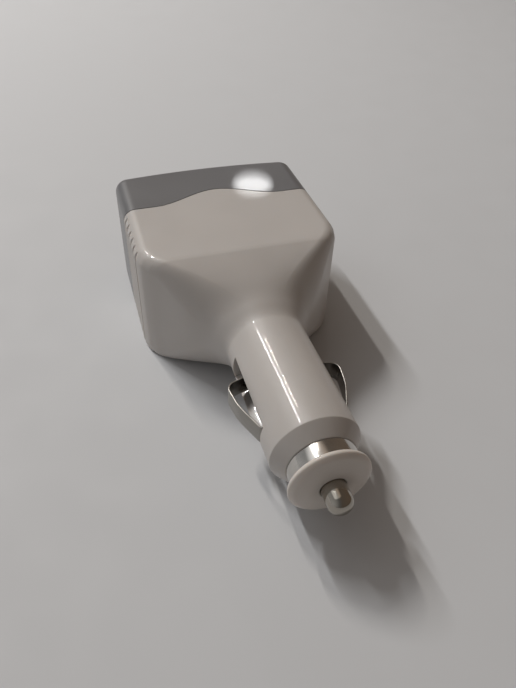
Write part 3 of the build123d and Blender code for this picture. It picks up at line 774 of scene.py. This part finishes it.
last_outlet = worked_out(rows_of_four, "SUBTRACT", given["Outlets"], 1.0)
from_middle = worked_out(rows_of_four, "SUBTRACT", outlet,
                         worked_out(rows_of_four, "DIVIDE", last_outlet, 2.0))
outlet_x = worked_out(rows_of_four, "MULTIPLY", from_middle, given["Spacing"])
in_row = worked_out(rows_of_four, "SUBTRACT", worked_out(rows_of_four, "MODULO", number, 4.0), 1.5)
step = worked_out(rows_of_four, "SUBTRACT", worked_out(rows_of_four, "ABSOLUTE", in_row), 0.5)
reach = worked_out(rows_of_four, "ADD", worked_out(rows_of_four, "MULTIPLY", step, given["Pitch"]),
                   worked_out(rows_of_four, "DIVIDE", given["Pair Gap"], 2.0))
contact_x = worked_out(rows_of_four, "MULTIPLY", reach, worked_out(rows_of_four, "SIGN", in_row))
spot = place_node(rows_of_four, "ShaderNodeCombineXYZ", {
    "X": worked_out(rows_of_four, "ADD", outlet_x, contact_x),
}).outputs["Vector"]
spots = place_node(rows_of_four, "GeometryNodeSetPosition", {"Geometry": spots, "Position": spot})
row_mesh = place_node(rows_of_four, "GeometryNodeInstanceOnPoints", {
    "Points": spots.outputs["Geometry"], "Instance": given["Geometry"],
})
row_mesh = place_node(rows_of_four, "GeometryNodeRealizeInstances", {
    "Geometry": row_mesh.outputs["Instances"],
})
row_mesh = place_node(rows_of_four, "GeometryNodeSetMaterial", {
    "Geometry": row_mesh.outputs["Geometry"], "Material": outlet_contact,
})
rows_of_four.links.new(row_mesh.outputs["Geometry"], made.inputs["Geometry"])
fit_tree(outlet_contacts, rows_of_four, {
    "Outlets": 2, "Spacing": 2 * port_spacing, "Pair Gap": 2.0 * mm, "Pitch": 2.5 * mm,
})
as_plain_mesh(outlet_contacts)
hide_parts("usb_contacts_left", "usb_contacts_right")
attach(outlet_contacts, "housing")

# Status light: a small round lens of clear pale plastic, moulded around the light on the board. It looks
# out of its hole between the outlets.
lamp_lens = moulded_plastic("lamp_lens", (0.45, 0.63, 0.78), 0.1, ripple=0.02 * mm)
lamp_lens.node_tree.nodes["Principled BSDF"].inputs["Transmission Weight"].default_value = 0.5
finish_node("status_led", lamp_lens)

# Floor: a plain pale table top under the plug, nearly matt, which takes its shadow. It belongs to the
# stage and not to the part.
floor_half = 1.5
floor_height = cad_box[0].z
floor_mesh = bpy.data.meshes.new("table")
floor_mesh.from_pydata([(x * floor_half, y * floor_half, floor_height)
                        for x, y in ((-1, -1), (1, -1), (1, 1), (-1, 1))], [], [(0, 1, 2, 3)])
floor = bpy.data.objects.new("table", floor_mesh)
bpy.context.scene.collection.objects.link(floor)
floor_mesh.materials.append(
    moulded_plastic("table_top", (0.607, 0.613, 0.627), 0.7, ripple=0.0, drift=0.004))

# Light: two strip lamps side by side high behind the plug, and a small lamp low behind it that the head's
# top mirrors. The room is bright on the plug's right side and overhead, and dim elsewhere.
scene = bpy.context.scene


def hang_lamp(name, spot, away, distance, size, power, shape="RECTANGLE", colour=(1, 1, 1),
              line=(0, 1, 0)):
    """A lamp that faces a spot on the plug, with its second side as near as it goes to a line."""
    away = Vector(away).normalized()
    length = (Vector(line) - away * away.dot(line)).normalized()
    lamp = bpy.data.lights.new(name, "AREA")
    lamp.shape = shape
    lamp.size, lamp.size_y = size
    lamp.energy = power
    lamp.color = colour
    stand = bpy.data.objects.new(name, lamp)
    stand.rotation_euler = Matrix((length.cross(away), length, away)).transposed().to_euler()
    stand.location = Vector(spot) * mm + away * distance
    scene.collection.objects.link(stand)


strip_direction = (0.265, -0.656, 0.707)
strip_distance = 1.2
hang_lamp("strip_lamp", (99.5, 64.2, 52.2), strip_direction, strip_distance, (0.03, 0.43), 5.7)
hang_lamp("warm_strip_lamp", (-80, 40, 0), strip_direction, strip_distance, (0.02, 0.2), 3.05,
          colour=(1.0, 0.95, 0.88))

# The small lamp is four ellipses, each before the last, smaller and brighter
small_lamp_direction = (-0.266, -0.843, 0.467)
small_lamp_distance = 1.3
for number, size in enumerate(((0.1, 0.07), (0.094, 0.056), (0.084, 0.042), (0.07, 0.028))):
    hang_lamp(f"small_lamp_{number + 1}", (-11.6, -48.6 + 0.8 * number, 16.0), small_lamp_direction,
              small_lamp_distance - 0.002 * number, size, (8.0 + 5.0 * number) * size[0] * size[1],
              "ELLIPSE", line=(0, 0, 1))

ceiling_direction = (0.3, -0.46, 0.835)
world = bpy.data.worlds.new("room")
world.use_nodes = True
scene.world = world
room = world.node_tree
toward = place_node(room, "ShaderNodeTexCoord").outputs["Generated"]
sideways = place_node(room, "ShaderNodeSeparateXYZ", {"Vector": toward}).outputs["X"]
share = place_node(room, "ShaderNodeMapRange", {"Value": sideways, "From Min": -1.0})
sky = colour_blend(room, share.outputs["Result"],
                   (0.0, (0.145, 0.109, 0.082)), (0.5, (0.122, 0.102, 0.086)),
                   (0.68, (0.135, 0.134, 0.132)), (1.0, (0.43, 0.43, 0.43)))
room.links.new(sky, room.nodes["Background"].inputs["Color"])
overhead = place_node(room, "ShaderNodeVectorMath", {0: toward, 1: ceiling_direction},
                      operation="DOT_PRODUCT")
ceiling = place_node(room, "ShaderNodeMapRange", {
    "Value": overhead.outputs["Value"], "From Min": cos(radians(32)), "From Max": cos(radians(14)),
    "To Min": 1.0, "To Max": 4.0,
}, interpolation_type="SMOOTHSTEP")
room.links.new(ceiling.outputs["Result"], room.nodes["Background"].inputs["Strength"])

# Camera: above the tip and a little to one side, where the photograph was taken from. Its place, turn and
# lens were fitted to the plug's edges.
camera_place = Vector((38.594, 108.133, 104.294)) * mm
camera_azimuth = radians(-108.746)
camera_slope = radians(-42.434)
camera_roll = radians(2.271)
lens = bpy.data.cameras.new("camera")
lens.lens = 32.164
lens.sensor_width = 36.0
lens.clip_start = 0.005
camera = bpy.data.objects.new("camera", lens)
camera.location = camera_place
line_of_sight = Vector((cos(camera_azimuth) * cos(camera_slope), sin(camera_azimuth) * cos(camera_slope),
                        sin(camera_slope)))
camera.rotation_euler = line_of_sight.to_track_quat("-Z", "Y").to_euler()
camera.rotation_euler.rotate_axis("Z", camera_roll)
scene.collection.objects.link(camera)
scene.camera = camera
scene.view_settings.view_transform = "Standard"
